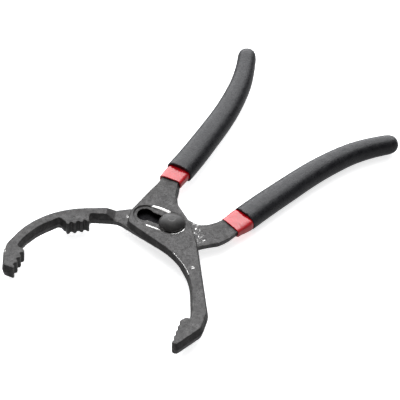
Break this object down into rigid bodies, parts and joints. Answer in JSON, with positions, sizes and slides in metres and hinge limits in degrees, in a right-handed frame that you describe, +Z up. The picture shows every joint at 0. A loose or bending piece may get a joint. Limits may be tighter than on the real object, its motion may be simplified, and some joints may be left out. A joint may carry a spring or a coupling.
{
  "type": "slip-joint oil filter wrench",
  "caption": "Plier-type oil filter wrench: two forged curved jaws with toothed pads, a slotted slip joint on a domed pivot bolt, and dipped red and black handle grips.",
  "frame": {"origin": "on the pivot axis at the underside of the lapped joint, where the nut's washer seats", "axes": "+Y from the pivot towards the handles, jaws towards -Y, +Z up along the pivot axis towards the domed bolt head"},
  "size_m": [0.1861, 0.3063, 0.0221],
  "materials": {
    "forged_steel": "satin black oxide over a drop-forged surface, bare metal at worn edges",
    "black_hardware": "smooth black oxide with faint turning marks",
    "plated_hardware": "dark phosphate, lightly worn corners",
    "red_vinyl": "glossy dipped vinyl",
    "black_vinyl": "soft dipped vinyl with a fine pebbled sheen"
  },
  "bodies": {
    "slotted_half": {"slotted_lever": "forged_steel", "slotted_lever_sleeve": "red_vinyl", "slotted_lever_grip": "black_vinyl"},
    "slip_washer": {"head_washer": "black_hardware"},
    "plain_half": {"plain_lever": "forged_steel", "pivot_bolt": "black_hardware", "nut_washer": "plated_hardware", "pivot_nut": "plated_hardware", "plain_lever_sleeve": "red_vinyl", "plain_lever_grip": "black_vinyl"}
  },
  "joints": [
    {"name": "slip_adjust", "type": "slide", "parent": "slotted_half", "child": "slip_washer", "axis": [-0.9598, -0.2807, 0], "range_m": [0, 0.0224]},
    {"name": "jaw_pivot", "type": "hinge", "parent": "slip_washer", "child": "plain_half", "pos_m": [0, 0, 0], "axis": [0, 0, 1], "range_deg": [-8, 18]}
  ]
}
